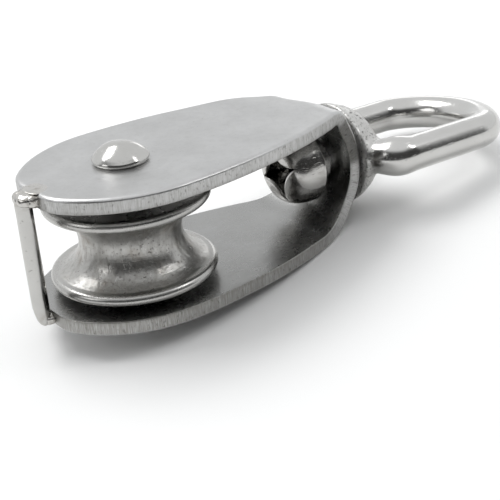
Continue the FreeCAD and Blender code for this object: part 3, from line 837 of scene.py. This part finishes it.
def net(field, low, step):
    """Surface net of a field on a grid. Each cell that the surface passes holds a point, the mean of
    the places where it crosses the cell's edges, and each grid edge that it crosses is ringed by
    the points of its four cells."""
    cells = tuple(n - 1 for n in field.shape)
    total, count = np.zeros(cells + (3,)), np.zeros(cells)

    def corner(offset):
        """The field at one corner of every cell."""
        return field[tuple(slice(o, o + n) for o, n in zip(offset, cells))]

    for axis in range(3):
        sides = [k for k in range(3) if k != axis]
        for a, b in ((0, 0), (0, 1), (1, 0), (1, 1)):
            offset = np.zeros(3, int)
            offset[sides[0]], offset[sides[1]] = a, b
            ahead_of = offset.copy()
            ahead_of[axis] = 1
            here, there = corner(offset), corner(ahead_of)
            crossed = (here < 0) != (there < 0)
            share = np.where(crossed, here / np.where(crossed, here - there, 1), 0)
            total += crossed[..., None] * (offset + share[..., None] * (np.arange(3) == axis))
            count += crossed
    passed = count > 0
    number = np.full(cells, -1)
    number[passed] = np.arange(passed.sum())
    points = low + step * (np.argwhere(passed) + total[passed] / count[passed][:, None])
    faces = []
    for axis in range(3):
        b, c = (axis + 1) % 3, (axis + 2) % 3
        grid = np.moveaxis(field, (axis, b, c), (0, 1, 2)) < 0
        cell = np.moveaxis(number, (axis, b, c), (0, 1, 2))
        leaves = grid[:-1, 1:-1, 1:-1] & ~grid[1:, 1:-1, 1:-1]
        enters = ~grid[:-1, 1:-1, 1:-1] & grid[1:, 1:-1, 1:-1]
        ringed = np.stack([cell[:, :-1, :-1], cell[:, 1:, :-1], cell[:, 1:, 1:], cell[:, :-1, 1:]], -1)
        faces += [ringed[leaves], ringed[enters][:, ::-1]]
    return points, np.concatenate(faces)


low = np.array([SHANK_END - SHANK_ROOM, -EYE_HALF - BAR_ROOM, -BOSS_HALF - BOSS_ROOM])
high = np.array([EYE_TIP_AT + BAR_ROOM, EYE_HALF + BAR_ROOM, BOSS_HALF + BOSS_ROOM])
axes = [np.arange(a, b, SKIN_STEP) for a, b in zip(low, high)]
field = eye_distance(np.stack(np.meshgrid(*axes, indexing="ij"), -1))
eye_points, eye_faces = net(field, low, SKIN_STEP)

# The net's points move onto the surface in four steps: each goes back along the slope of the
# distance by the distance over the slope's square. Then the skin is made slightly uneven.
for _ in range(4):
    value = eye_distance(eye_points)
    slope = np.stack([(eye_distance(eye_points + NUDGE * unit) - value) / NUDGE for unit in np.eye(3)], -1)
    eye_points = eye_points - slope * (value / np.maximum((slope ** 2).sum(-1), FLATTEST))[:, None]
from_axis = np.hypot(eye_points[:, 1], eye_points[:, 2])
cast_share = (np.clip((EYE_SEAT + CAST_ALONG - eye_points[:, 0]) / CAST_ALONG_FADE, 0, 1)
              * np.clip((CAST_AWAY - from_axis) / CAST_AWAY_FADE, 0, 1))
slope /= np.linalg.norm(slope, axis=1, keepdims=True)
seat_still = np.clip((eye_points[:, 0] - EYE_SEAT - SEAT_CALM_FROM) / SEAT_CALM, 0, 1)
cast_skin = cast_share * (SKIN_UNEVEN * lumps(eye_points, pitch=1.6, seed=62) - SKIN_SUNK)
swell = (EYE_WAVES * lumps(eye_points, pitch=8.0, seed=61) + cast_skin - EYE_SHRUNK) * seat_still
eye_points = eye_points + slope * swell[:, None]

droop, roll = EYE_DROOP, EYE_TURN
hinge = np.array([EYE_SEAT, 0, 0])
tilt = np.array([[math.cos(droop), 0, math.sin(droop)], [0, 1, 0],
                 [-math.sin(droop), 0, math.cos(droop)]])
twist = np.array([[1, 0, 0], [0, math.cos(roll), -math.sin(roll)],
                  [0, math.sin(roll), math.cos(roll)]])
eye_points = (hinge + (eye_points - hinge) @ tilt.T) @ twist.T
mesh = bpy.data.meshes.new("swivel_eye_casting")
mesh.from_pydata((eye_points * MM).tolist(), [], eye_faces.tolist())
mesh.attributes.new("cast", "FLOAT", "POINT").data.foreach_set("value", cast_share.astype(np.float32))
mesh.shade_smooth()
eye = in_scene("swivel_eye_casting", mesh)

buffed, start = finish_named("buffed_cast_steel")
place = start.node("TexCoord", {}, {}, "Object")
cast = start.node("Attribute", {"attribute_name": "cast"}, {}, "Fac")
cloud = start.grain(place, size=0.0050, detail=4.0)
haze = start.grain(place, size=0.0010, detail=4.0, rough=0.6)
skin = start.grain(place, size=0.0007, detail=5.0, rough=0.65)
pit = start.band(start.grain(place, size=0.00036), 0.56, 0.64)
polished_along = start.stretched(place, (0.2, 1.4, 1.0))
scratch = start.band(start.grain(polished_along, size=0.0004, detail=2.0), 0.62, 0.70)
nick = start.band(start.grain(place, size=0.0011), 0.70, 0.76)
colour = start.tint(cloud, EYE_DULL, EYE_BRIGHT)
colour = start.tint(cast * pit * 0.9, colour, BOSS_PIT_DARK)
colour = start.tint(nick * 0.4, colour, EYE_NICK_GREY)
rough = 0.165 + 0.08 * (cloud - 0.5) + 0.08 * (haze - 0.4) + 0.05 * scratch
rough = rough + cast * (0.20 + 0.14 * (skin - 0.5))
height = 0.35 * haze - 0.2 * scratch - 0.4 * nick + 1.0 * cloud + cast * (1.6 * skin - 1.8 * pit)
bare_steel(start, colour, rough, height, deep=0.000030)
eye.data.materials.append(buffed)
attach(eye, "swivel")
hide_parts("swivel_eye")


# ----------------------------------------
# Crimped collar. A stainless steel sleeve pressed over the inner end of the shank, which holds
# the eye in the crown. A four-jawed punch closes its end: the metal folds into four rounded
# petals round a star-shaped hollow, and the outside swells into a polished dome.
# ----------------------------------------
COLLAR_END = 26.2
COLLAR_RIM_AT = 30.55
COLLAR_RIM_HALF = 5.8
COLLAR_RIM_WIDE = 1.1
COLLAR_NECK = 3.8
COLLAR_STOP = 34.0
DOME_POWER = 5.0
STAR_TIP = 4.75
STAR_WAIST = 2.0
STAR_TURN = math.radians(-22.0)
STAR_DEEP = 2.2
PETAL_ROUND = 0.5
PETAL_FOOT = 5.0
COLLAR_STEPS = 384
HOLLOW_TAPER = 0.96
PLAY = 0.05
CAP_GAP = 0.1
DOME_FROM, DOME_FADE = 4.3, 0.8
RIM_CALM = 0.3
DOME_UNEVEN, DOME_SHRUNK = 0.03, 0.04
COLLAR_DULL = (0.42, 0.41, 0.395)
COLLAR_BRIGHT = (0.52, 0.515, 0.50)
SMEAR_GREY = (0.26, 0.245, 0.22)


def dome_at(away):
    """X of the dome at a distance from the shank's axis: from its end it rises by the dome's length
    times one less the root of one less the distance's share of the rim, to the dome's power."""
    share = np.clip(away / COLLAR_RIM_HALF, 0, 1) ** DOME_POWER
    return COLLAR_END + (COLLAR_RIM_AT - COLLAR_END) * (1 - np.sqrt(1 - share))


# A star edge runs from tip to tip along an arc through the waist. Y and Z are the two parts of one
# complex number, so that a turn about the shank is a product.
tip_x = STAR_TIP * math.sqrt(0.5)
star_radius = ((tip_x - STAR_WAIST) ** 2 + tip_x ** 2) / (2 * (tip_x - STAR_WAIST))
share = np.linspace(-1, 1, COLLAR_STEPS // 4 + 1)[:-1]
into_petal = np.exp(-1j * share * math.asin(tip_x / star_radius))
quarters = np.exp(1j * (STAR_TURN + math.pi / 4 * np.array([1, 3, 5, 7])))[:, None]
star, into, unit = (np.resize(quarters * part, COLLAR_STEPS + 1) for part in (
    STAR_WAIST + star_radius * (1 - into_petal), into_petal, np.exp(1j * share * math.pi / 4)))
lobe = np.resize(1 - share ** 4, COLLAR_STEPS + 1)
rows = [(0 * star, SHANK_END + 0 * lobe), (HOLLOW_TAPER * star, SHANK_END + 0 * lobe)]
for depth in np.linspace(STAR_DEEP, PETAL_ROUND, 6):
    rows.append((star, dome_at(abs(star)) + depth))
for bend in np.linspace(0, math.pi / 2, 9)[1:]:
    lip = star + PETAL_ROUND * (1 - math.cos(bend)) * lobe * into
    rows.append((lip, dome_at(abs(lip)) + PETAL_ROUND * (1 - math.sin(bend))))
for spread in np.linspace(0, 1, 14)[1:]:
    petal = lip * (1 - spread) + PETAL_FOOT * unit * spread
    rows.append((petal, dome_at(abs(petal))))
swing = np.linspace(math.asin((PETAL_FOOT / COLLAR_RIM_HALF) ** (DOME_POWER / 2)), math.pi / 2, 18)
dome_line = COLLAR_RIM_HALF * np.sin(swing) ** (2 / DOME_POWER)
back_line = rounded([(dome_line[-1], COLLAR_RIM_AT), (COLLAR_RIM_HALF, COLLAR_RIM_AT + COLLAR_RIM_WIDE),
                     (COLLAR_NECK, COLLAR_RIM_AT + COLLAR_RIM_WIDE), (COLLAR_NECK, COLLAR_STOP),
                     (SHANK + PLAY, COLLAR_STOP), (SHANK + PLAY, SHANK_END + CAP_GAP),
                     (0, SHANK_END + CAP_GAP)],
                    radii=[0.35, 0.2, 0.2, 0.1, 0.1], step=0.4)
for away, at in [*zip(dome_line[1:], dome_at(dome_line[1:])), *back_line[1:]]:
    rows.append((away * unit, at + 0 * lobe))
flat = np.stack([row[0] for row in rows])
sleeve = np.stack([np.stack([row[1] for row in rows]), flat.real, flat.imag], -1)
away = abs(flat)
on_dome = sleeve[..., 0] < COLLAR_RIM_AT + COLLAR_RIM_WIDE - RIM_CALM
dome_share = np.clip((away - DOME_FROM) / DOME_FADE, 0, 1) * on_dome
radial = sleeve * [0, 1, 1] / np.maximum(away, 0.5)[..., None]
swell = dome_share * (DOME_UNEVEN * lumps(sleeve, pitch=3.6, seed=71) - DOME_SHRUNK)
sleeve += radial * swell[..., None]
sleeve[:, -1] = sleeve[:, 0]
collar = steel_piece("star_collar", [sleeve])

pressed, start = finish_named("pressed_collar_steel")
place = start.node("TexCoord", {}, {}, "Object")
cloud = start.grain(place, size=0.0025, detail=4.0)
haze = start.grain(place, size=0.0008, detail=4.0, rough=0.6)
smear = start.band(start.grain(start.stretched(place, (0.5, 1.3, 1.3)), size=0.0016, detail=4.0), 0.50, 0.68)
drawn_in = start.stretched(place, (0.15, 1.2, 1.2))
scratch = start.band(start.grain(drawn_in, size=0.0003, detail=2.0), 0.60, 0.70)
colour = start.tint(cloud, COLLAR_DULL, COLLAR_BRIGHT)
colour = start.tint(smear * 0.35, colour, SMEAR_GREY)
rough = 0.17 + 0.10 * (cloud - 0.5) + 0.10 * (haze - 0.4) + 0.06 * scratch
height = 0.6 * haze - 0.3 * scratch + 1.5 * cloud
bare_steel(start, colour, rough, height, deep=0.000022)
collar.data.materials.append(pressed)
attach(collar, "swivel")
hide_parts("crimped_collar")


# ----------------------------------------
# Floor, light and camera. A plain white table under the block, which rests on the lower rivet
# head and on the start of the lower bend, one broad soft light overhead and three smaller ones.
# ----------------------------------------
TABLE_HALF = 6.0  # In metres, as the places and sizes of the lights are.
TABLE_WHITE = (0.96, 0.96, 0.955)
ROOM_PALE = (0.92, 0.93, 0.94)
ROOM_DARK = (0.06, 0.06, 0.06)
FRONT_WAY = (-0.57, -0.82, 0.0)

# The table's plane touches the ball that the lower head is part of, and the point where the lower
# cheek starts to bend. Its slope is found by putting each value back into the tangent's condition.
head_centre = CHEEK_FACE + HEAD_HIGH - dome_radius
rest_rise = 0.0
for _ in range(8):
    rest_rise = (dome_radius * math.sqrt(1 + rest_rise ** 2) - (CHEEK_FACE - head_centre)) / BEND_AT
rest_drop = -CHEEK_FACE - rest_rise * BEND_AT
corners = np.array([[-1, -1], [1, -1], [1, 1], [-1, 1]]) * TABLE_HALF
mesh = bpy.data.meshes.new("table")
mesh.from_pydata([(x, y, rest_drop * MM + rest_rise * x) for x, y in corners], [], [(0, 1, 2, 3)])
table = in_scene("table", mesh)
white, start = finish_named("white_table")
surface = start.node("BsdfPrincipled", {}, {"Base Color": (*TABLE_WHITE, 1), "Roughness": 0.9,
                                            "Specular IOR Level": 0.1})
start.node("OutputMaterial", {}, {"Surface": surface})
table.data.materials.append(white)


def soft_light(name, place, aim, wide, deep, watts):
    """A rectangular soft light at a place, turned to face the point it is aimed at."""
    lamp = bpy.data.lights.new(name, "AREA")
    lamp.shape, lamp.size, lamp.size_y, lamp.energy = "RECTANGLE", wide, deep, watts
    stand = in_scene(name, lamp)
    stand.location = place
    away = np.array(place) - np.array(aim)
    flat = math.hypot(away[0], away[1])
    stand.rotation_euler = (math.atan2(flat, away[2]), 0, math.atan2(away[0], -away[1]))


soft_light("overhead", (-0.12, 0.24, 0.42), (0.02, 0, 0), wide=0.32, deep=0.24, watts=1.15)
soft_light("left_window", (-0.45, 0.05, 0.22), (0.02, 0, 0), wide=0.22, deep=0.22, watts=0.30)
soft_light("right_window", (0.30, -0.25, 0.40), (0.02, 0, 0), wide=0.10, deep=0.14, watts=0.22)
soft_light("far_window", (0.37, 0.28, 0.13), (0.04, 0, 0), wide=0.14, deep=0.10, watts=0.05)

# The room: a white sweep behind the table and a white ceiling, and a darker room in front.
sky = bpy.data.worlds.new("studio")
sky.use_nodes = True
sky.node_tree.nodes.clear()
start = Shade(sky.node_tree)
heading = start.node("TexCoord", {}, {}, "Generated")
high = start.node("SeparateXYZ", {}, {"Vector": heading}, "Z")
front = start.node("VectorMath", {"operation": "DOT_PRODUCT"}, {0: heading, 1: FRONT_WAY}, "Value")
room = start.band(front, -0.15, 0.25) * (1 - start.band(high, 0.60, 0.85))
dome = start.tint(room, ROOM_PALE, ROOM_DARK)
seen = start.node("LightPath", {}, {}, "Is Camera Ray")
shown = start.tint(seen, dome, (1.0, 1.0, 1.0))
start.node("OutputWorld", {}, {"Surface": start.node("Background", {}, {"Color": shown, "Strength": 1.0})})
bpy.context.scene.world = sky

# The camera looks at a point of the block from a bearing, a height angle and a distance, and is
# turned a little about its own axis.
AIM = np.array([19.59, -0.86, -10.31])
AZIMUTH, ELEVATION, ROLL = (math.radians(a) for a in (-34.60, 25.37, -5.05))
FAR = 184.57
LENS, SENSOR = 87.02, 36.0
back = np.array([math.sin(AZIMUTH) * math.cos(ELEVATION), -math.cos(AZIMUTH) * math.cos(ELEVATION),
                 math.sin(ELEVATION)])
level = np.cross(-back, [0, 0, 1])
level /= np.linalg.norm(level)
upright = np.cross(level, -back)
right = math.cos(ROLL) * level + math.sin(ROLL) * upright
up = -math.sin(ROLL) * level + math.cos(ROLL) * upright
lens = bpy.data.cameras.new("camera")
lens.lens, lens.sensor_width = LENS, SENSOR
lens.clip_start, lens.clip_end = 0.01, 50.0
camera = in_scene("camera", lens)
place = (AIM + back * FAR) * MM
stand = np.eye(4)
stand[:3] = np.stack([right, up, back, place], -1)
camera.matrix_world = Matrix(stand)
bpy.context.scene.camera = camera
bpy.context.scene.view_settings.view_transform = "Standard"
